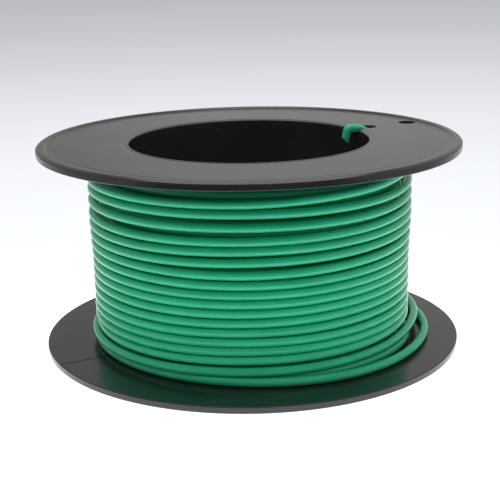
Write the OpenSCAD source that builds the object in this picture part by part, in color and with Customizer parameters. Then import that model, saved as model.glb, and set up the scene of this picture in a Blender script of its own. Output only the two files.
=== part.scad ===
// Wire spool: a moulded reel with wide flanges and a large open core, carrying three layers of
// insulated single-core wire. The lower flange rests on z = 0 and the reel's axis is Z.

/* [Reel] */
// Diameter of both flanges
flange_d = 160; // [150:1:180]
// Overall height of the reel, crown to crown
reel_h = 79; // [70:1:95]
// Diameter of the open core
core_d = 90.8; // [86:0.1:91]
// Outer diameter of the barrel that the wire is wound on
barrel_d = 101.6; // [98:0.1:104]

/* [Flanges] */
// Thickness of a flange's flat web
web_t = 2.4; // [2:0.1:2.4]
// Height of a flange's rim
rim_h = 3; // [3:0.1:3.4]
// Width of the raised crown on the rim
crown_w = 1.9; // [1.5:0.1:2.5]
// Radius where the crown's inner slope meets the web
slope_r = 75.4; // [74:0.1:76]
// Depth of the sink ring around the core
sink_depth = 0.15; // [0.1:0.05:0.3]
// Length of the collar that locates a flange in the barrel
collar_l = 20; // [6:0.5:24]

/* [Wire holes] */
// Diameter of the hole that the wire's start comes out of
start_hole_d = 7.2; // [6:0.1:8]
// Width of the groove that leads the wire from that hole to the core
groove_w = 3.8; // [3.4:0.1:4.4]
// Depth of that groove
groove_depth = 2; // [1:0.1:2.1]
// Diameter of the hole near the rim that grips the wire's end
clip_d = 6.8; // [5:0.1:7.4]
// Width of the two slim bars across that hole
bar_w = 0.5; // [0.4:0.05:0.8]
// Angle from the upper flange to the lower one, about the reel's axis
lower_turn = 78; // [60:1:90]

/* [Wire] */
// Outside diameter of the insulation
wire_d = 3.2; // [3:0.05:3.2]
// Diameter of the stranded copper conductor
copper_d = 1.6; // [1.4:0.1:1.8]
// Height of the top of the innermost layer of the winding
first_top = 72.4; // [71:0.1:72.4]
// Height of the top of the middle layer of the winding
second_top = 75; // [72.4:0.1:75]
// Distance from one layer of the winding to the next
layer_pitch = 3.65; // [3.2:0.05:3.8]

/* [Hidden] */
$fn = 96;

flange_r = flange_d / 2;
core_r = core_d / 2;
barrel_r = barrel_d / 2;
wire_r = wire_d / 2;
copper_r = copper_d / 2;
collar_r = (core_r + barrel_r) / 2;
web_out = rim_h - web_t;            // how far the web lies below the crown
edge_round = 0.9;                   // rounding of the rim's outer corner
inner_round = 0.6;                  // rounding of the rim's inner corner
core_chamfer = 0.5;
joint_chamfer = 0.6;                // at the collar's end and the barrel's shoulder
sink_in = 46.5;
sink_out = 49;
bead_r = 74.2;                      // line left by the mould around the web
bead_w = 0.5;
bead_depth = 0.12;
start_r = 52.6;                     // where the start hole lies
start_az = 26.3;
groove_az = 227;                    // which way the groove runs from the hole
groove_l = 12;                      // how far it is cut, out over the core
groove_side = 0.4;                  // how far its middle passes the hole's middle
clip_r = 71.5;                      // where the clip hole lies
clip_az = 26.3;
bar_az = 103;                       // which way its bars run
bar_place = 0.95;                   // from the hole's middle to the middle of a bar
part_line_az = 130;                 // the radial line on a flange's inner face
part_line_w = 0.5;
part_line_depth = 0.2;
shell = 0.01;                       // cutters run this far past a face
sides = 8;                          // of a swept lead

// Heights of the wire's axis in the neat turns of the outer layer, at the front, from the top down.
turn_heights = [
    67.1, 63.7, 59.1, 54.2, 50.9, 46.8, 42.2, 38.5, 35.1, 31.8, 28.5, 25.1, 21.7, 18.2, 15, 11.6
];
// The loose turns at the bottom, clockwise from the back: [azimuth, radius, height] of the wire's axis.
upper_route = [
    [100, 62.6, 9.6], [90, 63, 9.3], [70, 64.6, 8.8], [50, 66.4, 8.4], [35, 67.2, 8.1], [20, 67, 8],
    [10, 65.6, 8.1], [0, 63.8, 8.1], [-10, 61.9, 8], [-20, 60.9, 7.9], [-35, 60.4, 7.8],
    [-60, 60.2, 7.7], [-90, 60.6, 7.7], [-105, 61.5, 7.8], [-120, 62.2, 7.4], [-135, 62.3, 7],
    [-150, 62, 7], [-180, 61.4, 7.4], [-195, 61.2, 7.8], [-210, 61, 7.5], [-230, 61, 6.3], [-250, 62, 5.3]
];
lower_route = [
    [110, 62, 5.3], [90, 64, 4.8], [75, 65.4, 4.6], [60, 66.4, 4.6], [40, 67.2, 4.6], [20, 67.4, 4.6],
    [0, 67.6, 4.6], [-20, 67, 4.6], [-45, 66.5, 4.6], [-60, 65.7, 4.6], [-75, 64, 4.6],
    [-90, 62.4, 4.6], [-105, 61, 4.6], [-120, 60.4, 4.6], [-135, 60, 4.6], [-150, 59.8, 4.6],
    [-180, 59.8, 4.6]
];
finish_route = [
    [180, 59.8, 4.6], [165, 60.6, 4.6], [150, 63.4, 4.6], [135, 66.8, 4.6], [122, 69.6, 4.6],
    [111.5, 71.1, 4.6], [107.8, 71.4, 4.4], [105.4, 71.5, 3.6], [104.3, 71.5, 2.6]
];
// The wire's start, from the top of the winding out through the upper flange: [x, y, z] of its axis.
start_route = [
    [37.1, -37, 74.1], [43, -30, 74.1], [47.9, -21.3, 74.1], [51.2, -11, 74.1], [52.4, 0, 74.1],
    [51.6, 9.1, 74.1], [50.4, 14.6, 74.1], [49.4, 18.2, 74.2], [48.7, 20.4, 74.6], [48, 21.8, 75.5],
    [47.1, 22.2, 76.7], [45.9, 21.5, 77.65], [44.7, 20.4, 78.2], [43, 18.7, 78.7], [41.2, 17.1, 79.1],
    [39.6, 16.1, 79], [38.8, 15.7, 78.1]
];
start_end = [37.9, 15.3, 74.6];     // the cut end of the wire's start
finish_z = 0.4;                     // the cut end of the wire's finish
cut_angle = 43;                     // slant of the cut at the start

function unit(v) = v / norm(v);
function polar(p) = [p[1] * cos(p[0]), p[1] * sin(p[0]), p[2]];
function last(list) = list[len(list) - 1];

// A point on the smooth curve through four points, t of the way from b to c.
function between(a, b, c, d, t) =
    0.5 * (2 * b + (c - a) * t + (2 * a - 5 * b + 4 * c - d) * t * t
        + (3 * b - a - 3 * c + d) * t * t * t);

// A list of points with n points for each one of the route's, on a smooth curve.
function smooth(route, n) = concat(
    [for (i = [0 : len(route) - 2]) for (k = [0 : n - 1])
        between(route[max(i - 1, 0)], route[i], route[i + 1], route[min(i + 2, len(route) - 1)], k / n)],
    [last(route)]
);

function directions(path) = [
    for (i = [0 : len(path) - 1])
        unit(path[min(i + 1, len(path) - 1)] - path[max(i - 1, 0)])
];

// A direction square to the path at each of its points, turning as little as it can.
function square_on(dirs) = [
    for (i = 0, side = unit(cross(dirs[0], [0, 0, 1])); i < len(dirs); i = i + 1,
        side = i < len(dirs) ? unit(side - (side * dirs[i]) * dirs[i]) : side) side
];

// A solid round cord along a path.
module swept(path, radius) {
    dirs = directions(path);
    across = square_on(dirs);
    rings = len(path);
    points = [
        for (i = [0 : rings - 1]) for (k = [0 : sides - 1])
            let (turn = 360 * k / sides)
            path[i] + radius * (cos(turn) * across[i] + sin(turn) * cross(dirs[i], across[i]))
    ];
    walls = [
        for (i = [0 : rings - 2]) for (k = [0 : sides - 1])
            let (a = i * sides + k, b = i * sides + (k + 1) % sides)
            [a, a + sides, b + sides, b]
    ];
    ends = [[for (k = [0 : sides - 1]) k], [for (k = [sides - 1 : -1 : 0]) (rings - 1) * sides + k]];
    polyhedron(points, concat(walls, ends), convexity = 8);
}

// Puts a child that runs from the origin along +Z at a place, pointing along a direction.
module aim(place, direction) {
    d = unit(direction);
    translate(place)
        rotate([0, acos(d[2]), atan2(d[1], d[0])])
            children();
}

// What a chamfer takes off a corner at the origin that faces -X and -Y.
module chamfer(size) {
    polygon([[-shell, -shell], [size, -shell], [size, 0], [0, size], [-shell, size]]);
}

// A half section of a flange, its crown at z = 0 and its inner face at z = rim_h.
module flange_section() {
    crown_r = flange_r - edge_round;
    difference() {
        union() {
            // the web with its rim, rounded at the outside
            translate([core_r, web_out]) square([crown_r - core_r, web_t]);
            polygon([
                [slope_r, rim_h], [slope_r, web_out], [crown_r - crown_w, 0],
                [crown_r, 0], [crown_r, rim_h]
            ]);
            translate([crown_r - shell, edge_round])
                square([edge_round + shell, rim_h - edge_round - inner_round]);
            translate([crown_r, edge_round]) circle(r = edge_round);
            translate([flange_r - inner_round, rim_h - inner_round]) circle(r = inner_round);
            translate([crown_r - shell, rim_h - inner_round])
                square([edge_round - inner_round + shell, inner_round]);
            // the collar that locates it in the barrel
            translate([core_r, rim_h - shell]) square([collar_r - core_r, collar_l + shell]);
        }
        translate([core_r, web_out]) chamfer(core_chamfer);
        translate([core_r, rim_h + collar_l]) mirror([0, 1]) chamfer(joint_chamfer);
        translate([sink_in, web_out - shell]) square([sink_out - sink_in, sink_depth + shell]);
        translate([bead_r - bead_w, web_out - shell]) square([bead_w, bead_depth + shell]);
    }
}

// The moulding that both flanges are made from, as it lies on its crown.
module flange_moulding() {
    difference() {
        rotate_extrude() flange_section();
        // the hole that the wire's start goes through
        rotate(start_az) translate([start_r, 0, -shell])
            cylinder(d = start_hole_d, h = rim_h + 2 * shell);
        // the groove that leads on from that hole to the core
        rotate(start_az) translate([start_r, 0, web_out - shell]) rotate(groove_az - start_az)
            translate([0, groove_side - groove_w / 2, 0])
                cube([groove_l, groove_w, groove_depth + shell]);
        // the hole that grips the wire's end, between two slim bars
        rotate(clip_az) translate([clip_r, 0, -shell]) difference() {
            cylinder(d = clip_d, h = rim_h + 2 * shell);
            rotate(bar_az - clip_az) for (side = [-1, 1])
                translate([-clip_d, side * bar_place - bar_w / 2, -shell])
                    cube([2 * clip_d, bar_w, rim_h + 4 * shell]);
        }
        // the radial line on the inner face
        rotate(part_line_az) translate([barrel_r + 1, -part_line_w / 2, rim_h - part_line_depth])
            cube([flange_r, part_line_w, 1]);
    }
}

// The inner radius of a layer of the winding.
function layer_r(number) = barrel_r + (number - 1) * layer_pitch;

// An inner layer of the winding, as a plain ring that reaches the next layer.
module inner_layer(number, top) {
    color([0.1, 0.55, 0.38]) rotate_extrude()
        translate([layer_r(number), rim_h]) square([layer_pitch, top - rim_h]);
}

// Everything beyond a tip, past a plane with a slant.
module past(tip, slant) {
    translate(tip) rotate([0, slant, 0]) translate([-wire_d, -wire_d, -2 * wire_d])
        cube(2 * wire_d);
}

// A straight length of insulation up to its cut, hollow for the conductor.
module lead_end(place, tip, slant) {
    along = tip - place;
    color([0.1, 0.55, 0.38]) difference() {
        aim(place, along) difference() {
            cylinder(r = wire_r, h = norm(along) + wire_r);
            translate([0, 0, -shell]) cylinder(r = copper_r, h = norm(along) + wire_d);
        }
        past(tip, slant);
    }
}

// The copper in a straight length of lead.
module lead_copper(place, tip, slant) {
    along = tip - place;
    color([0.78, 0.45, 0.25]) difference() {
        aim(place, along) cylinder(r = copper_r, h = norm(along) + wire_r);
        past(tip, slant);
    }
}

finish_bend = polar(last(finish_route));
finish_end = [finish_bend[0], finish_bend[1], finish_z];

module lower_flange() {
    color([0.2, 0.2, 0.21]) rotate(lower_turn) flange_moulding();
}

module upper_flange() {
    color([0.2, 0.2, 0.21]) translate([0, 0, reel_h]) mirror([0, 0, 1]) flange_moulding();
}

module barrel() {
    shoulder = rim_h + collar_l;
    color([0.25, 0.25, 0.26]) rotate_extrude() difference() {
        translate([core_r, rim_h]) square([barrel_r - core_r, reel_h - 2 * rim_h]);
        for (flip = [0, 1]) translate([0, flip * reel_h]) mirror([0, flip]) {
            translate([core_r - shell, rim_h - shell])
                square([collar_r - core_r + shell, collar_l + shell]);
            translate([core_r, shoulder]) chamfer(joint_chamfer);
        }
    }
}

module winding_layer_1() { inner_layer(1, first_top); }
module winding_layer_2() { inner_layer(2, second_top); }

// The outer layer, with the round backs of its turns.
module winding_layer_3() {
    inner = layer_r(3);
    bottom = last(turn_heights) - wire_r;
    color([0.1, 0.6, 0.4]) rotate_extrude() {
        translate([inner, bottom]) square([wire_r, turn_heights[0] + wire_r - bottom]);
        for (height = turn_heights) translate([inner + wire_r, height]) circle(r = wire_r);
    }
}

module loose_turn_upper() {
    color([0.1, 0.6, 0.4]) swept([for (p = smooth(upper_route, 2)) polar(p)], wire_r);
}

module loose_turn_lower() {
    color([0.1, 0.6, 0.4]) swept([for (p = smooth(lower_route, 2)) polar(p)], wire_r);
}

module start_lead() {
    color([0.1, 0.6, 0.4]) swept(smooth(start_route, 1), wire_r);
}

module start_lead_end() { lead_end(last(start_route), start_end, cut_angle); }
module start_conductor() { lead_copper(last(start_route), start_end, cut_angle); }

module finish_lead() {
    color([0.1, 0.6, 0.4]) swept([for (p = finish_route) polar(p)], wire_r);
}

module finish_lead_end() { lead_end(finish_bend, finish_end, 0); }
module finish_conductor() { lead_copper(finish_bend, finish_end, 0); }

lower_flange();
upper_flange();
barrel();
winding_layer_1();
winding_layer_2();
winding_layer_3();
loose_turn_upper();
loose_turn_lower();
start_lead();
start_lead_end();
start_conductor();
finish_lead();
finish_lead_end();
finish_conductor();
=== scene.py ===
"""A wire spool: two flange mouldings on a barrel, wound with 21 m of green insulated wire.

Everything that belongs to the object is worked out in millimetres in the frame's own axes and is
scaled to metres when its mesh is made.
"""
import math

import bpy
import bmesh
import numpy as np
from mathutils import Matrix, Vector


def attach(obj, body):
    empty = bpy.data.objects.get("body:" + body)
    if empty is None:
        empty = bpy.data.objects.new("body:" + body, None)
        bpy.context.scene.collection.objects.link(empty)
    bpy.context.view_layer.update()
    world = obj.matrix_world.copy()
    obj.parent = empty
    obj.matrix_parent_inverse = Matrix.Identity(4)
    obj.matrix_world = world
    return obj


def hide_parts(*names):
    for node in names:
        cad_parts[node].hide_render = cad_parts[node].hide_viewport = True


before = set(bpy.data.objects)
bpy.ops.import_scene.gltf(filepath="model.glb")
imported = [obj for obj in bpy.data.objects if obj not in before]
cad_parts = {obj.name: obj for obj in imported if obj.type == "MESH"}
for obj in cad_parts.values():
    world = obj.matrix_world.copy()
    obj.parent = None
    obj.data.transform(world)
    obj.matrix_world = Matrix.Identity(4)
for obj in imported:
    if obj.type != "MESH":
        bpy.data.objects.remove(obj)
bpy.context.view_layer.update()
MM = 0.001

# ------------------------------------------------------------------ sizes, in mm
REEL_H = 79.0
RIM_H = 3.0                 # from a flange's crown to its inner face
WEB_OUT = 0.6               # how far the web lies below the crown
FLANGE_R = 80.0
CORE_R = 45.4
BARREL_R = 50.8
COLLAR_R = 48.1
COLLAR_L = 20.0
LOWER_TURN = 78.0           # how far the lower flange is turned against the upper one
WIRE_R = 1.6
COPPER_R = 0.8

START_HOLE = (52.6, 26.3, 3.6)      # radius from the axis, azimuth, radius of the hole
GROOVE = (227.0, 12.0, 3.8, 2.0, 0.4)   # azimuth, length, width, depth, sideways offset
CLIP = (71.5, 26.3, 3.4, 103.0, 0.95, 0.5)  # radius, azimuth, hole radius; its bars: azimuth, place, width
PART_LINE = (130.0, 0.5, 0.2)   # azimuth, width and depth of the radial line on a flange's inner face

# ------------------------------------------------------------------ camera
EYE = (0.0, -439.2, 157.1)
YAW, PITCH, ROLL = -0.0008, -0.2717, -0.0196
LENS, SENSOR = 84.29, 36.0


def make_camera():
    ahead = Vector((math.sin(YAW) * math.cos(PITCH), math.cos(YAW) * math.cos(PITCH), math.sin(PITCH)))
    level = Vector((math.cos(YAW), -math.sin(YAW), 0.0))
    above = level.cross(ahead)
    right = math.cos(ROLL) * level + math.sin(ROLL) * above
    up = math.cos(ROLL) * above - math.sin(ROLL) * level
    data = bpy.data.cameras.new("camera")
    data.lens, data.sensor_width = LENS, SENSOR
    data.clip_start, data.clip_end = 0.01, 50.0
    camera = bpy.data.objects.new("camera", data)
    turn = Matrix((right, up, -ahead)).transposed().to_4x4()
    camera.matrix_world = Matrix.Translation(Vector(EYE) * MM) @ turn
    bpy.context.scene.collection.objects.link(camera)
    bpy.context.scene.camera = camera


make_camera()


# ------------------------------------------------------------------ mesh helpers
def add_object(name, mesh):
    made = bpy.data.objects.new(name, mesh)
    bpy.context.scene.collection.objects.link(made)
    return made


def make_mesh(name, points, faces):
    """A mesh from points in mm, with its faces turned outwards and shaded smooth."""
    mesh = bpy.data.meshes.new(name)
    mesh.from_pydata((np.asarray(points, float) * MM).tolist(), [], faces)
    mesh.validate()
    work = bmesh.new()
    work.from_mesh(mesh)
    bmesh.ops.recalc_face_normals(work, faces=work.faces)
    work.to_mesh(mesh)
    work.free()
    mesh.polygons.foreach_set("use_smooth", np.ones(len(mesh.polygons), bool))
    return mesh


def arc(centre, radius, start, end, steps):
    """Points on an arc in a half section, its angles in degrees."""
    return [
        (centre[0] + radius * math.cos(math.radians(a)), centre[1] + radius * math.sin(math.radians(a)))
        for a in np.linspace(start, end, steps + 1)
    ]


def lathe(name, section, segments=288):
    """A closed half section of (radius, height) turned about Z."""
    turns = np.arange(segments) * 2 * math.pi / segments
    section = np.asarray(section, float)
    rings = np.stack([
        np.outer(np.cos(turns), section[:, 0]),
        np.outer(np.sin(turns), section[:, 0]),
        np.tile(section[:, 1], (segments, 1)),
    ], -1)
    count = len(section)
    faces = [
        (i * count + j, j + ((i + 1) % segments) * count,
         (j + 1) % count + ((i + 1) % segments) * count, i * count + (j + 1) % count)
        for i in range(segments) for j in range(count)
    ]
    return make_mesh(name, rings.reshape(-1, 3), faces)


def catmull(points, steps):
    """A smooth line through points, with its own points kept."""
    points = np.asarray(points, float)
    line = []
    for i in range(len(points) - 1):
        a, b = points[max(i - 1, 0)], points[i]
        c, d = points[i + 1], points[min(i + 2, len(points) - 1)]
        for t in np.arange(steps) / steps:
            line.append(0.5 * (2 * b + (c - a) * t + (2 * a - 5 * b + 4 * c - d) * t * t
                               + (3 * b - a - 3 * c + d) * t ** 3))
    return np.array(line + [points[-1]])


def from_polar(route):
    """Points (azimuth in degrees, radius, height) as x, y, z."""
    route = np.asarray(route, float)
    angle = np.radians(route[:, 0])
    return np.stack([route[:, 1] * np.cos(angle), route[:, 1] * np.sin(angle), route[:, 2]], -1)


def carried_frames(path):
    """Unit tangents, and two directions square to them that are carried along without twist."""
    ahead = np.gradient(path, axis=0)
    ahead /= np.linalg.norm(ahead, axis=1)[:, None]
    side = np.zeros_like(path)
    first = np.cross(ahead[0], [0.3, 0.5, 0.8])
    side[0] = first / np.linalg.norm(first)
    for i in range(1, len(path)):
        carried = side[i - 1] - ahead[i] * (side[i - 1] @ ahead[i])
        side[i] = carried / np.linalg.norm(carried)
    return ahead, side, np.cross(ahead, side)


# ------------------------------------------------------------------ the wire's route
START_END = (37.9, 15.3, 74.6)
START_ROUTE = [
    (38.5, 15.55, 77.6), (38.75, 15.7, 78.5), (39.4, 16.1, 79), (40.6, 17.1, 78.95), (42.4, 18.8, 78.55),
    (44, 20.5, 78.1), (45.2, 21.8, 77.4), (46.5, 22.5, 76.6), (47.8, 22, 75.6), (48.5, 20.2, 74.7),
    (49.2, 17.8, 74.2),
    (50.2, 14.7, 74.1), (51.5, 9.1, 74.1), (52.3, 3, 74.1), (52.3, -4, 74.05), (51.9, -7.3, 74),
]
CUT_ANGLE = 43.0            # slant of the cut at the start, from level
# heights of the outer turns where they pass the right, the front and the left, from the top down
TURN_AZIMUTHS = (-40, -90, -140)
TURN_HEIGHTS = [
    (68.4, 67.1, 66.7), (63.2, 63.7, 63.3), (58.7, 59.1, 58.6),
    (54.5, 54.2, 53.6), (51, 50.9, 49.8), (47.3, 46.8, 46), (42.9, 42.2, 42.4), (38.9, 38.5, 38.7),
    (35.4, 35.1, 35), (32.2, 31.8, 31.6), (28.9, 28.5, 28.1), (25.6, 25.1, 24.4), (22, 21.7, 20.9),
    (18.2, 18.2, 17.6), (14.9, 15, 14.2), (11.7, 11.6, 10.9),
]
# where the last outer turn leads on to the loose ones, as (azimuth, radius, height)
LAST_TURN = [(-165, 58.8, 10.6), (170, 59, 10.3), (140, 59.8, 10), (120, 60.8, 9.8)]
UPPER_ROUTE = [
    (100, 62.6, 9.6), (90, 63, 9.3), (70, 64.6, 8.8), (50, 66.4, 8.4), (35, 67.2, 8.1), (20, 67, 8),
    (10, 65.6, 8.1), (0, 63.8, 8.1), (-10, 61.9, 8), (-20, 60.9, 7.9), (-35, 60.4, 7.8),
    (-60, 60.2, 7.7), (-90, 60.6, 7.8), (-105, 61, 7.9), (-120, 61.2, 7.7), (-135, 61.2, 7.5),
    (-150, 61, 7.5), (-180, 60.8, 7.6), (-195, 60.8, 7.8), (-210, 61, 7.5), (-230, 61, 6.3),
]
LOWER_ROUTE = [
    (110, 62, 5.3), (90, 64, 4.8), (75, 65.4, 4.6), (60, 66.4, 4.6), (40, 67.2, 4.6), (20, 67.4, 4.6),
    (0, 67.6, 4.6), (-20, 67, 4.6), (-45, 66.5, 4.6), (-60, 65.7, 4.6), (-75, 64, 4.6),
    (-90, 62.4, 4.6), (-105, 61, 4.6), (-120, 60.4, 4.6), (-135, 60, 4.6), (-150, 59.8, 4.6),
    (-178, 59.8, 4.6),
]
FINISH_ROUTE = [
    (178, 59.8, 4.6), (165, 60.6, 4.6), (150, 63.4, 4.6), (135, 66.8, 4.6), (122, 69.6, 4.6),
    (111.5, 71.1, 4.6), (107.8, 71.4, 4.4), (105.4, 71.5, 3.6), (104.3, 71.5, 2.6), (104.3, 71.5, 0.4),
]
COIL_FROM = -8.0            # azimuth where the start's route hands over to the coil
PITCH_IN = 3.32             # pitch of the two inner layers
BOTTOM_Z, TOP_Z = 4.65, 74.2
LAYER_R = [52.4, 56.0, 59.4]    # radius of each layer; the third swells towards the top
SWELL = (36.0, 50.0, 0.7)       # from this height to this one, by this much
# where the middle layer's first turn bulges, as (azimuth, radius)
SLACK = [(-6, 60), (-20, 61.2), (-45, 61), (-65, 60.3), (-90, 58.5), (-110, 57)]
CLIMBS = 110.0              # degrees that the climbs between layers take, all together
LEAVE_FIRST = 25.0          # degrees before the bottom where the first layer starts to move outwards
SLACK_RISE = 1.2            # how far the middle layer has risen where its bulge is over
THIRD_LEAVE, THIRD_ON = 75.0, 40.0      # degrees before the right where the wire leaves the middle
                                        # layer, and where it is out on the third
GRID, EASE = 2.5, 15        # degrees between points of the coil, and how many are averaged
FINE, OUTER, INNER = 0.7, 3.0, 6.0      # spacing of the wire's rings
BEND_L = 62.0               # length of the finely divided stretch at each end


def onward(before, place):
    """The azimuth of a place, unwrapped to be the next one clockwise from an earlier azimuth."""
    return place - 360 * math.ceil((place - before) / 360)


def outer_radius(height):
    low, high, more = SWELL
    return LAYER_R[2] + more * min(max((height - low) / (high - low), 0.0), 1.0)


def coil_knots():
    """The turns from the start hole to the clip hole, as (azimuth, radius, height), always clockwise,
    and the azimuth where the wire leaves for the third layer."""
    rise = 360 * (TOP_Z - BOTTOM_Z) / PITCH_IN
    down = COIL_FROM - rise
    right = 360 * round((down - CLIMBS - rise) / 360)
    third_from = right + THIRD_LEAVE
    knots = [
        (COIL_FROM, LAYER_R[0], START_ROUTE[-1][2]), (down + LEAVE_FIRST, LAYER_R[0], BOTTOM_Z + 0.2),
        *[(onward(down, place), radius, BOTTOM_Z) for place, radius in SLACK],
        (onward(down, SLACK[-1][0] - 20), LAYER_R[1], BOTTOM_Z + SLACK_RISE),
        (third_from, LAYER_R[1], TOP_Z), (right + THIRD_ON, outer_radius(TOP_Z), TOP_Z - 0.4),
        (right, outer_radius(TOP_Z), TOP_Z - 3.5),
    ]
    outer = [(place, outer_radius(height), height)
             for heights in TURN_HEIGHTS for place, height in zip(TURN_AZIMUTHS, heights)]
    for place, radius, height in outer + LAST_TURN + UPPER_ROUTE + LOWER_ROUTE:
        knots.append((onward(knots[-1][0], place), radius, height))
    return np.array(knots), third_from


def even_steps(line, spacing):
    """The same line with its points a set distance apart, which may differ along it."""
    along = np.concatenate([[0], np.cumsum(np.linalg.norm(np.diff(line, axis=0), axis=1))])
    places, place = [], 0.0
    while place < along[-1]:
        places.append(place)
        place += spacing(place, along[-1])
    if along[-1] - places[-1] < 0.3 * FINE:
        places.pop()
    places.append(along[-1])
    return np.stack([np.interp(places, along, line[:, k]) for k in range(3)], -1)


def wire_path():
    """Points along the wire's axis from its start to its finish, closer together where it bends."""
    knots, third_from = coil_knots()
    grid = np.arange(knots[0, 0], knots[-1, 0], -GRID)
    ease = np.hanning(EASE + 2)[1:-1]
    ease /= ease.sum()
    coil = [grid]
    for column in (1, 2):
        values = np.interp(-grid, -knots[:, 0], knots[:, column])
        coil.append(np.convolve(np.pad(values, EASE // 2, "edge"), ease, "valid"))
    coil = from_polar(np.stack(coil, -1))
    start = catmull([START_END, *START_ROUTE], 8)
    finish = from_polar(catmull([(a, r, z) for a, r, z in FINISH_ROUTE], 8))
    line = np.concatenate([start, coil[2:], finish])
    inner_points = len(start) + np.searchsorted(-grid, -third_from)
    outer_from = np.linalg.norm(np.diff(line, axis=0), axis=1)[:inner_points].sum()

    def spacing(place, whole):
        if place < BEND_L or place > whole - BEND_L / 2:
            return FINE
        return INNER if place < outer_from else OUTER

    return even_steps(line, spacing)


path = wire_path()


def wire_mesh(name, path, sides=14):
    """The insulation: a round tube with its ends open around the conductor.

    Each point keeps its place along and around the wire, in mm, for the material."""
    ahead, side, other = carried_frames(path)
    angle = np.arange(sides) * 2 * math.pi / sides
    spokes = side[:, None] * np.cos(angle)[None, :, None] + other[:, None] * np.sin(angle)[None, :, None]
    along = np.concatenate([[0], np.cumsum(np.linalg.norm(np.diff(path, axis=0), axis=1))])
    rings = path[:, None] + WIRE_R * spokes
    places = np.stack([np.tile(WIRE_R * np.cos(angle), (len(path), 1)),
                       np.tile(WIRE_R * np.sin(angle), (len(path), 1)),
                       np.tile(along[:, None], (1, sides))], -1)

    def end(at, sign, normal):
        """Rings from the outside over a cut's face and down around the conductor."""
        made = []
        for radius, depth in ((WIRE_R - 0.12, -0.1), (WIRE_R - 0.3, 0), (COPPER_R + 0.12, 0.02),
                              (COPPER_R + 0.04, -0.12), (COPPER_R + 0.03, -2.2)):
            ring = path[at] + radius * spokes[at] + ahead[at] * sign * depth
            slope = ((ring - path[at]) @ normal) / (ahead[at] @ normal)
            if depth > -1:
                ring = ring - np.outer(slope, ahead[at]) + ahead[at] * sign * depth
            made.append(ring)
        return made

    start_cut = np.array([-math.sin(math.radians(CUT_ANGLE)), 0, -math.cos(math.radians(CUT_ANGLE))])
    first, last = end(0, -1, start_cut), end(len(path) - 1, 1, np.array([0, 0, -1.0]))
    slope = ((rings[0] - path[0]) @ start_cut) / (ahead[0] @ start_cut)
    rings[0] = rings[0] - np.outer(slope, ahead[0]) + ahead[0] * 0.22
    rings = np.concatenate([np.array(first[::-1]), rings, np.array(last)])
    places = np.concatenate([np.repeat(places[:1], len(first), 0), places,
                             np.repeat(places[-1:], len(last), 0)])
    count = len(rings)
    faces = [
        (i * sides + j, i * sides + (j + 1) % sides, (i + 1) * sides + (j + 1) % sides, (i + 1) * sides + j)
        for i in range(count - 1) for j in range(sides)
    ]
    faces += [tuple(range(sides)), tuple(range((count - 1) * sides, count * sides))]
    mesh = make_mesh(name, rings.reshape(-1, 3), faces)
    kept = mesh.attributes.new("wire_place", "FLOAT_VECTOR", "POINT")
    kept.data.foreach_set("vector", places.reshape(-1).astype(np.float32))
    return mesh


wire = add_object("wire", wire_mesh("wire", path))


def strand_bundle(name, at, ahead, twist_from, length=2.1, sides=8):
    """Nineteen twisted strands that fill the conductor's hole, from a cut inwards."""
    side = np.cross(ahead, [0.1, 1, 0.2])
    side /= np.linalg.norm(side)
    other = np.cross(ahead, side)
    thick = 0.155
    points, faces = [], []
    angle = np.arange(sides) * 2 * math.pi / sides
    for ring, number in ((0, 1), (0.31, 6), (0.62, 12)):
        for k in range(number):
            line = []
            for depth in np.linspace(0, length, 9):
                turn = twist_from + 2 * math.pi * k / number + 0.35 * depth
                line.append(at + ring * (math.cos(turn) * side + math.sin(turn) * other)
                            + ahead * (depth - 0.03 * ((k * 7 + number) % 3)))
            line = np.array(line)
            rings = [line[0] + 0.55 * thick * (np.cos(angle)[:, None] * side
                     + np.sin(angle)[:, None] * other) - ahead * 0.05]
            rings += [p + thick * (np.cos(angle)[:, None] * side + np.sin(angle)[:, None] * other)
                      for p in line]
            base = len(points)
            points += np.concatenate(rings).tolist()
            count = len(rings)
            faces += [(base + i * sides + j, base + i * sides + (j + 1) % sides,
                       base + (i + 1) * sides + (j + 1) % sides, base + (i + 1) * sides + j)
                      for i in range(count - 1) for j in range(sides)]
            faces += [tuple(base + j for j in range(sides)),
                      tuple(base + (count - 1) * sides + j for j in range(sides))]
    return add_object(name, make_mesh(name, points, faces))


def tangent(a, b):
    step = np.asarray(b, float) - np.asarray(a, float)
    return step / np.linalg.norm(step)


start_strands = strand_bundle("start_strands", path[0] + tangent(path[0], path[1]) * 0.35,
                              tangent(path[0], path[1]), 0.3)
finish_strands = strand_bundle("finish_strands", path[-1] + tangent(path[-1], path[-2]) * 0.05,
                               tangent(path[-1], path[-2]), 1.1)


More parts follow.
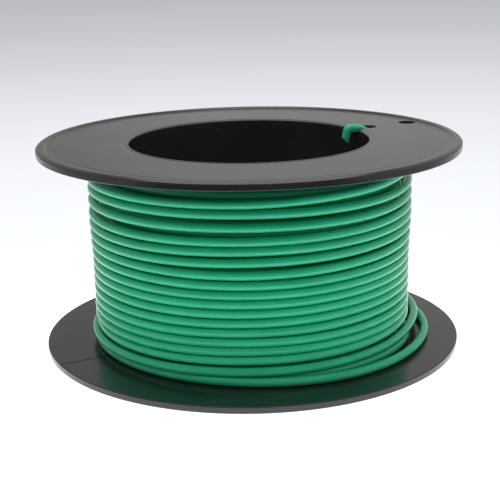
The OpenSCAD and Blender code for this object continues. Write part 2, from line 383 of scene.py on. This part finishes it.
# ------------------------------------------------------------------ the reel
def flange_section():
    """Half section of a flange moulding, its crown at height 0 and its inner face at RIM_H."""
    top = RIM_H + COLLAR_L
    collar = [
        (CORE_R, 1.2), (CORE_R, 1.4), (CORE_R, top - 0.75), (CORE_R, top - 0.6),
        (CORE_R + 0.6, top), (COLLAR_R - 0.4, top), (COLLAR_R, top - 0.4),
        (COLLAR_R, RIM_H + 0.4), (COLLAR_R, RIM_H),
    ]
    inner_face = [(COLLAR_R + 0.5, RIM_H), (BARREL_R, RIM_H), (60, RIM_H), (FLANGE_R - 0.7, RIM_H)]
    rim = [
        *arc((FLANGE_R - 0.4, RIM_H - 0.4), 0.4, 90, 0, 6),
        (FLANGE_R, RIM_H - 0.6), (FLANGE_R, 1.15), (FLANGE_R, 0.95), (FLANGE_R - 0.03, 0.8),
        (FLANGE_R - 0.13, 0.64), (FLANGE_R - 0.3, 0.5), (FLANGE_R - 0.9, 0.12), (FLANGE_R - 1.05, 0.05),
        (FLANGE_R - 1.25, 0.01), (FLANGE_R - 1.4, 0.0),
    ]
    crown_slope = [
        (77.2, 0.0), (77.0, 0.02), (76.85, 0.08), (76.2, 0.52), (76.05, 0.58), (75.85, WEB_OUT),
        (75.4, WEB_OUT),
    ]
    mould_line = [
        (74.5, WEB_OUT), (74.3, 0.63), (74.1, 0.67), (73.9, 0.67), (73.7, 0.63), (73.5, WEB_OUT),
    ]
    web = [(72.4, WEB_OUT), (60, WEB_OUT), (48.6, WEB_OUT)]
    sink_ring = [
        (48.2, WEB_OUT), (47.9, 0.64), (47.6, 0.74), (47.4, 0.77), (46.9, 0.77), (46.7, 0.74),
        (46.45, 0.66), (46.25, WEB_OUT), (46.05, WEB_OUT),
    ]
    core_edge = arc((CORE_R + 0.5, WEB_OUT + 0.5), 0.5, -90, -180, 5)
    return [*collar, *inner_face, *rim, *crown_slope, *mould_line, *web, *sink_ring, *core_edge]


def cutter(name, section, segments, place):
    made = add_object(name, lathe(name, section, segments))
    made.location = Vector(place) * MM
    return made


def box_cutter(name, low, high):
    corners = [(x, y, z) for x in (low[0], high[0]) for y in (low[1], high[1]) for z in (low[2], high[2])]
    faces = [(0, 1, 3, 2), (4, 6, 7, 5), (0, 4, 5, 1), (2, 3, 7, 6), (0, 2, 6, 4), (1, 5, 7, 3)]
    return add_object(name, make_mesh(name, corners, faces))


def turned(obj, degrees):
    obj.data.transform(obj.matrix_basis)
    obj.matrix_basis = Matrix.Identity(4)
    obj.data.transform(Matrix.Rotation(math.radians(degrees), 4, "Z"))
    return obj


def flange_moulding(name):
    """One flange moulding, with its hole, groove, clip hole and radial line cut."""
    body = add_object(name, lathe(name, flange_section(), 360))
    radius, azimuth, hole = START_HOLE
    flare = 0.25
    cutters = [turned(cutter("cut_hole", [
        (0.001, -1), (hole + 1, -1), (hole + flare, WEB_OUT - 0.02), (hole + 0.07, WEB_OUT + 0.12),
        (hole, WEB_OUT + 0.35), (hole, RIM_H - 0.3), (hole + 0.2, RIM_H + 0.02), (hole + 0.2, 4.5),
        (0.001, 4.5)], 64, (radius, 0, 0)), azimuth)]
    direction, length, width, depth, side = GROOVE
    groove = box_cutter("cut_groove", (0, side - width / 2, -1), (length, side + width / 2, WEB_OUT + depth))
    groove.data.transform(Matrix.Rotation(math.radians(direction - azimuth), 4, "Z"))
    groove.location = Vector((radius, 0, 0)) * MM
    cutters.append(turned(groove, azimuth))
    radius, azimuth, hole, way, place, width = CLIP
    clip = turned(cutter("cut_clip", [
        (0.001, -1), (hole, -1), (hole, 4.5), (0.001, 4.5)], 64, (radius, 0, 0)), azimuth)
    for side in (-1, 1):        # the two bars that stay in the clip hole
        bar = box_cutter("clip_bar", (-hole - 1, side * place - width / 2, WEB_OUT + 0.9),
                         (hole + 1, side * place + width / 2, 6))
        bar.data.transform(Matrix.Rotation(math.radians(way - azimuth), 4, "Z"))
        bar.location = Vector((radius, 0, 0)) * MM
        take_away(clip, [turned(bar, azimuth)])
    cutters.append(clip)
    azimuth, width, depth = PART_LINE
    line = box_cutter("cut_line", (BARREL_R + 1, -width / 2, RIM_H - depth),
                      (FLANGE_R + 1, width / 2, RIM_H + 1))
    cutters.append(turned(line, azimuth))
    take_away(body, cutters)
    mesh = body.data
    mesh.polygons.foreach_set("use_smooth", np.ones(len(mesh.polygons), bool))
    mesh.set_sharp_from_angle(angle=math.radians(32))
    return body


def take_away(body, tools):
    """Cuts the tools out of a body for good, and removes them."""
    for tool in tools:
        cut = body.modifiers.new(tool.name, "BOOLEAN")
        cut.operation, cut.solver, cut.object = "DIFFERENCE", "EXACT", tool
    bpy.context.view_layer.update()
    mesh = bpy.data.meshes.new_from_object(body.evaluated_get(bpy.context.evaluated_depsgraph_get()))
    body.modifiers.clear()
    body.data = mesh
    mesh.name = body.name
    for tool in tools:
        bpy.data.objects.remove(tool)


lower_flange = flange_moulding("lower_flange_moulding")
upper_flange = add_object("upper_flange_moulding", lower_flange.data.copy())
upper_flange.data.transform(Matrix.Translation((0, 0, REEL_H * MM)) @ Matrix.Scale(-1, 4, (0, 0, 1)))
upper_flange.data.flip_normals()
lower_flange.data.transform(Matrix.Rotation(math.radians(LOWER_TURN), 4, "Z"))

shoulder = RIM_H + COLLAR_L
barrel_half = [
    (COLLAR_R + 0.05, RIM_H + 0.02), (BARREL_R - 0.3, RIM_H + 0.02), (BARREL_R, RIM_H + 0.3),
    (BARREL_R, REEL_H / 2),
]
barrel_inside = [
    (CORE_R, REEL_H / 2), (CORE_R, shoulder + 0.75), (CORE_R, shoulder + 0.6), (CORE_R + 0.6, shoulder),
    (COLLAR_R + 0.05, shoulder), (COLLAR_R + 0.05, shoulder - 0.3),
]
barrel = add_object("barrel_tube", lathe("barrel_tube", [
    *barrel_half, *[(r, REEL_H - z) for r, z in barrel_half[-2::-1]],
    *[(r, REEL_H - z) for r, z in barrel_inside[::-1]], *barrel_inside[1:],
], 288))
barrel.data.set_sharp_from_angle(angle=math.radians(32))


# ------------------------------------------------------------------ materials
class Nodes:
    """A material's node tree, with short calls to add and join nodes."""

    def __init__(self, name):
        self.material = bpy.data.materials.new(name)
        self.material.use_nodes = True
        self.tree = self.material.node_tree
        self.shader = self.tree.nodes["Principled BSDF"]

    def add(self, kind, **values):
        node = self.tree.nodes.new(kind)
        for key, value in values.items():
            if hasattr(node, key):
                setattr(node, key, value)
            else:
                node.inputs[key.replace("_", " ")].default_value = value
        return node

    def join(self, source, output, target, socket):
        self.tree.links.new(source.outputs[output], target.inputs[socket])

    def noise(self, vector, scale, detail=4.0, roughness=0.5):
        node = self.add("ShaderNodeTexNoise", Scale=scale, Detail=detail, Roughness=roughness)
        self.tree.links.new(vector, node.inputs["Vector"])
        return node.outputs["Fac"]

    def ramp(self, source, stops):
        node = self.add("ShaderNodeValToRGB")
        node.color_ramp.elements.remove(node.color_ramp.elements[1])
        for number, (place, colour) in enumerate(stops):
            stop = node.color_ramp.elements[0] if number == 0 else node.color_ramp.elements.new(place)
            stop.position = place
            stop.color = (*colour, 1) if len(colour) == 3 else colour
        self.tree.links.new(source, node.inputs["Fac"])
        return node.outputs["Color"]

    def span(self, source, low, high, start=0.0, end=1.0):
        node = self.add("ShaderNodeMapRange")
        for socket, value in zip(("From Min", "From Max", "To Min", "To Max"), (start, end, low, high)):
            node.inputs[socket].default_value = value
        self.tree.links.new(source, node.inputs["Value"])
        return node.outputs["Result"]

    def math(self, operation, a, b=None):
        node = self.add("ShaderNodeMath", operation=operation)
        for socket, value in zip(node.inputs, (a, b)):
            if isinstance(value, (int, float)):
                socket.default_value = value
            elif value is not None:
                self.tree.links.new(value, socket)
        return node.outputs["Value"]

    def mix(self, share, a, b):
        node = self.add("ShaderNodeMix", data_type="RGBA")
        for socket, value in ((node.inputs[0], share), (node.inputs[6], a), (node.inputs[7], b)):
            if isinstance(value, (int, float)):
                socket.default_value = value
            elif isinstance(value, tuple):
                socket.default_value = (*value, 1)
            else:
                self.tree.links.new(value, socket)
        return node.outputs[2]

    def bump(self, height, distance, strength=1.0, under=None):
        node = self.add("ShaderNodeBump", Strength=strength, Distance=distance)
        self.tree.links.new(height, node.inputs["Height"])
        if under is not None:
            self.tree.links.new(under, node.inputs["Normal"])
        return node.outputs["Normal"]


def scaled(n, vector, factors):
    node = n.add("ShaderNodeVectorMath", operation="MULTIPLY")
    n.tree.links.new(vector, node.inputs[0])
    node.inputs[1].default_value = factors
    return node.outputs["Vector"]


def insulation_material():
    """Green PVC: satin, faintly drawn along the wire, with small waves and dust."""
    n = Nodes("green_insulation")
    place = n.add("ShaderNodeAttribute", attribute_name="wire_place").outputs["Vector"]
    drawn = n.noise(scaled(n, place, (1.6, 1.6, 0.02)), 1.0, 3.0)
    waves = n.noise(scaled(n, place, (0.25, 0.25, 0.09)), 1.0, 2.0)
    grain = n.noise(scaled(n, place, (9, 9, 6)), 1.0, 3.0)
    tone = n.math("ADD", n.math("MULTIPLY", drawn, 0.55), n.math("MULTIPLY", waves, 0.45))
    colour = n.ramp(tone, [(0.32, (0.015, 0.43, 0.205)), (0.5, (0.018, 0.485, 0.237)),
                           (0.7, (0.022, 0.54, 0.272))])
    dust = n.ramp(n.noise(scaled(n, place, (1.2, 1.2, 0.8)), 1.0, 5.0, 0.65),
                  [(0.66, (0, 0, 0)), (0.78, (1, 1, 1))])
    colour = n.mix(n.math("MULTIPLY", dust, 0.10), colour, (0.35, 0.5, 0.42))
    n.tree.links.new(colour, n.shader.inputs["Base Color"])
    rough = n.math("ADD", n.span(drawn, 0.16, 0.25, 0.3, 0.7), n.math("MULTIPLY", dust, 0.18))
    n.tree.links.new(rough, n.shader.inputs["Roughness"])
    n.shader.inputs["IOR"].default_value = 1.5
    n.shader.inputs["Specular IOR Level"].default_value = 0.4
    normal = n.bump(waves, 0.00005)
    normal = n.bump(drawn, 0.00001, under=normal)
    n.tree.links.new(n.bump(grain, 0.0000015, under=normal), n.shader.inputs["Normal"])
    return n.material


def plastic_material():
    """Black moulded polystyrene: gloss a little uneven, fine grain, faint scuffs and dust."""
    n = Nodes("black_plastic")
    place = n.add("ShaderNodeTexCoord").outputs["Object"]
    cloud = n.noise(place, 26, 3.0)
    grain = n.noise(place, 2600, 3.0, 0.6)
    fine = n.noise(place, 700, 4.0, 0.6)
    colour = n.ramp(cloud, [(0.3, (0.0128, 0.0130, 0.0128)), (0.7, (0.0178, 0.0178, 0.0172))])
    specks = n.ramp(n.noise(place, 1300, 2.0, 0.4), [(0.745, (0, 0, 0)), (0.78, (1, 1, 1))])
    scuffs = n.add("ShaderNodeTexNoise", Scale=1.0, Detail=5.0, Roughness=0.7, Distortion=0.6)
    n.tree.links.new(scaled(n, place, (60, 900, 300)), scuffs.inputs["Vector"])
    worn = n.ramp(scuffs.outputs["Fac"], [(0.62, (0, 0, 0)), (0.72, (1, 1, 1))])
    colour = n.mix(n.math("MULTIPLY", specks, 0.35), colour, (0.16, 0.155, 0.145))
    n.tree.links.new(colour, n.shader.inputs["Base Color"])
    rough = n.math("ADD", n.span(cloud, 0.17, 0.23, 0.3, 0.7), n.math("MULTIPLY", worn, 0.05))
    rough = n.math("ADD", rough, n.math("MULTIPLY", specks, 0.2))
    n.tree.links.new(rough, n.shader.inputs["Roughness"])
    n.shader.inputs["IOR"].default_value = 1.5
    normal = n.bump(fine, 0.000012)
    n.tree.links.new(n.bump(grain, 0.000004, under=normal), n.shader.inputs["Normal"])
    return n.material


def copper_material():
    """Bright drawn copper, a little duller in patches."""
    n = Nodes("copper_strands")
    place = n.add("ShaderNodeTexCoord").outputs["Object"]
    patches = n.noise(place, 1500, 4.0)
    colour = n.ramp(patches, [(0.35, (0.52, 0.20, 0.10)), (0.6, (0.80, 0.36, 0.21))])
    n.tree.links.new(colour, n.shader.inputs["Base Color"])
    n.tree.links.new(n.span(patches, 0.32, 0.2, 0.3, 0.7), n.shader.inputs["Roughness"])
    n.shader.inputs["Metallic"].default_value = 1.0
    n.tree.links.new(n.bump(n.noise(place, 6000, 2.0), 0.000006), n.shader.inputs["Normal"])
    return n.material


insulation, plastic, copper = insulation_material(), plastic_material(), copper_material()
for piece, material, slot in (
    (wire, insulation, "insulation"), (start_strands, copper, "conductor"),
    (finish_strands, copper, "conductor"), (lower_flange, plastic, "reel_plastic"),
    (upper_flange, plastic, "reel_plastic"), (barrel, plastic, "barrel_plastic"),
):
    piece.data.materials.clear()
    piece.data.materials.append(material)
    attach(piece, "root")

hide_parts("lower_flange")
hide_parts("upper_flange")
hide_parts("barrel")
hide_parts("start_conductor")
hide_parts("finish_conductor")
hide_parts(*[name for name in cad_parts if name.startswith((
    "winding_layer", "loose_turn", "start_lead", "finish_lead"))])


# ------------------------------------------------------------------ floor, backdrop and light
STAGE_R, STAGE_H, STAGE_BEND = 3.0, 3.0, 0.8
# brightness of the floor by its distance from the middle, as shares of STAGE_R
FLOOR_BACK = [(0.030, 1.7), (0.050, 1.02), (0.127, 0.92), (0.23, 0.785), (0.313, 0.685),
              (0.45, 0.59), (0.69, 0.515), (1.0, 0.475)]
FLOOR_SIDE = [(0.055, 1.7), (0.09, 0.58), (0.4, 0.62), (1.0, 0.6)]
FLOOR_FRONT = [(0.055, 1.9), (0.09, 0.75), (0.4, 0.75), (1.0, 0.8)]
# under the reel: painted shadow on the glowing floor, dark under the flange, left at full glow in the open
# core
PAINTED_SHADOW_UNDER_REEL = [(0.0, 1.9), (0.0145, 1.9), (0.0155, 0.1), (0.0252, 0.1), (0.0268, 1.9)]
# brightness of the wall by its height, as shares of STAGE_H
WALL_BACK = [(0.0, 0.49), (0.15, 0.54), (0.6, 0.62), (1.0, 0.7)]
WALL_SIDE = [(0.0, 0.6), (0.5, 0.7), (1.0, 0.9)]
WALL_FRONT = [(0.0, 1.0), (1.0, 0.9)]
LEFT_DIM = 0.24             # share that the wall loses to the left


def stage_material(name):
    """A pale surface that glows evenly and lights the object: brightest round the middle, falling off
    towards the back, with a painted shadow under the reel's flange.
    """
    n = Nodes(name)
    n.tree.nodes.remove(n.shader)
    glow = n.add("ShaderNodeEmission")
    where = n.add("ShaderNodeSeparateXYZ")
    n.tree.links.new(n.add("ShaderNodeTexCoord").outputs["Object"], where.inputs[0])
    away = n.math("SQRT", n.math("ADD", n.math("MULTIPLY", where.outputs[0], where.outputs[0]),
                                 n.math("MULTIPLY", where.outputs[1], where.outputs[1])))
    way = n.math("DIVIDE", where.outputs[1], n.math("MAXIMUM", away, 0.01))
    far, high = n.span(away, 0, 1, 0, STAGE_R), n.span(where.outputs[2], 0, 1, 0, STAGE_H)
    back, front = n.span(way, 0, 1, 0.2, 0.7), n.span(way, 0, 1, -0.3, -0.85)

    def around(by_back, by_side, by_front, place, tone=(0.98, 1, 1.045)):
        tint = [[(p, [v * part for part in tone]) for p, v in stops]
                for stops in (by_back, by_side, by_front)]
        level = n.mix(back, n.ramp(place, tint[1]), n.ramp(place, tint[0]))
        return n.mix(front, level, n.ramp(place, tint[2]))

    # the painted shadow under the reel's flange leads every floor table
    floor = around(*[PAINTED_SHADOW_UNDER_REEL + out for out in (FLOOR_BACK, FLOOR_SIDE, FLOOR_FRONT)], far)
    wall = around(WALL_BACK, WALL_SIDE, WALL_FRONT, high, (1.01, 1, 0.98))
    wall = n.mix(n.span(where.outputs[0], LEFT_DIM, 0, -0.5, -0.15), wall, (0, 0, 0))
    n.tree.links.new(n.mix(n.span(where.outputs[2], 0, 1, 0.02, 0.25), floor, wall), glow.inputs["Color"])
    n.tree.links.new(glow.outputs[0], n.tree.nodes["Material Output"].inputs["Surface"])
    return n.material


def make_stage():
    """A round pale floor that curves up into a backdrop all the way round."""
    bend = STAGE_BEND
    section = [(r, 0.0) for r in (0.3, 0.8, 1.4, STAGE_R - bend)]
    section += [(STAGE_R - bend + bend * math.sin(a), bend - bend * math.cos(a))
                for a in np.linspace(0.1, math.pi / 2, 12)]
    section += [(STAGE_R, STAGE_H)]
    segments, count = 96, len(section)
    points, faces = [(0, 0, 0)], []
    for i in range(segments):
        a = 2 * math.pi * i / segments
        points += [(r * math.cos(a), r * math.sin(a), z) for r, z in section]
        here, there = 1 + i * count, 1 + ((i + 1) % segments) * count
        faces.append((0, here, there))
        faces += [(here + j, here + j + 1, there + j + 1, there + j) for j in range(count - 1)]
    mesh = bpy.data.meshes.new("studio_sweep")
    mesh.from_pydata(points, [], faces)
    mesh.polygons.foreach_set("use_smooth", np.ones(len(mesh.polygons), bool))
    mesh.materials.append(stage_material("pale_sweep"))
    add_object("studio_sweep", mesh)


def make_card(name, corners, level):
    """A dim card that is only there for the reflections: the dark room in front of the object."""
    mesh = bpy.data.meshes.new(name)
    mesh.from_pydata(corners, [], [(0, 1, 2, 3)])
    n = Nodes(name)
    n.tree.nodes.remove(n.shader)
    glow = n.add("ShaderNodeEmission", Color=(level, level, level, 1))
    n.tree.links.new(glow.outputs[0], n.tree.nodes["Material Output"].inputs["Surface"])
    mesh.materials.append(n.material)
    card = add_object(name, mesh)
    card.visible_camera = False


make_stage()
make_card("front_card", [(-0.9, -0.7, 0.002), (0.9, -0.7, 0.002), (0.9, -0.7, 1.1), (-0.9, -0.7, 1.1)], 0.3)
make_card("floor_card", [(-0.6, -0.7, 0.001), (0.6, -0.7, 0.001), (0.3, -0.2, 0.001), (-0.3, -0.2, 0.001)],
          0.12)


def area_light(name, place, target, size, power, colour=(1, 1, 1)):
    data = bpy.data.lights.new(name, "AREA")
    data.shape, data.size, data.size_y = "RECTANGLE", size[0], size[1]
    data.energy, data.color = power, colour
    made = bpy.data.objects.new(name, data)
    made.location = place
    made.rotation_euler = (Vector(target) - Vector(place)).to_track_quat("-Z", "Y").to_euler()
    bpy.context.scene.collection.objects.link(made)
    return made


area_light("overhead", (0.0, 0.1, 1.5), (0, 0, 0.05), (1.4, 1.4), 14.0)

world = bpy.data.worlds.new("studio")
world.use_nodes = True
world.node_tree.nodes["Background"].inputs["Color"].default_value = (0.97, 0.985, 1.0, 1)
world.node_tree.nodes["Background"].inputs["Strength"].default_value = 0.45
bpy.context.scene.world = world
bpy.context.scene.view_settings.view_transform = "Standard"
